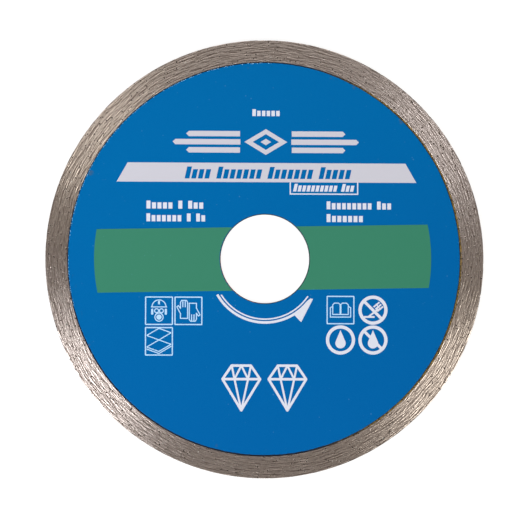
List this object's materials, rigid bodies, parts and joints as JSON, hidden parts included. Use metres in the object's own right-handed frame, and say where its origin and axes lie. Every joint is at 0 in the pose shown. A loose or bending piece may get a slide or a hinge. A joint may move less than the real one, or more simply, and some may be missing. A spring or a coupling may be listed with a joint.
{
  "type": "diamond blade",
  "caption": "Thin steel disc with a sintered continuous diamond rim and a round arbor bore, for cutting tile. The front is lacquered and printed, the rear is plain lacquer.",
  "frame": {"origin": "centre of the arbor bore, halfway through the steel core", "axes": "+Z along the spindle axis, out of the printed face; +Y towards the top of the print; the blade lies flat"},
  "size_m": [0.11, 0.11, 0.002],
  "materials": {
    "core_steel": "ground steel, bare at the bore",
    "bond_metal": "sintered metal bond, ground in rings",
    "diamond_crystal": "clear yellowish synthetic crystals",
    "blue_lacquer": "satin stoved lacquer film",
    "green_ink": "satin screen ink",
    "white_ink": "satin screen ink"
  },
  "bodies": {
    "root": {"steel_core": "core_steel", "diamond_rim": "bond_metal", "front_diamonds": "diamond_crystal", "rear_diamonds": "diamond_crystal", "edge_diamonds": "diamond_crystal", "front_coat": "blue_lacquer", "rear_coat": "blue_lacquer", "green_band": "green_ink", "emblem": "white_ink", "stock_blocks": "white_ink", "title_banner": "white_ink", "caption_box": "white_ink", "left_figures": "white_ink", "right_figures": "white_ink", "rotation_arrow": "white_ink", "gem_marks": "white_ink", "mask_mark": "white_ink", "glove_mark": "white_ink", "tile_mark": "white_ink", "manual_mark": "white_ink", "no_grinding_mark": "white_ink", "wet_mark": "white_ink", "not_wet_mark": "white_ink"}
  },
  "joints": []
}
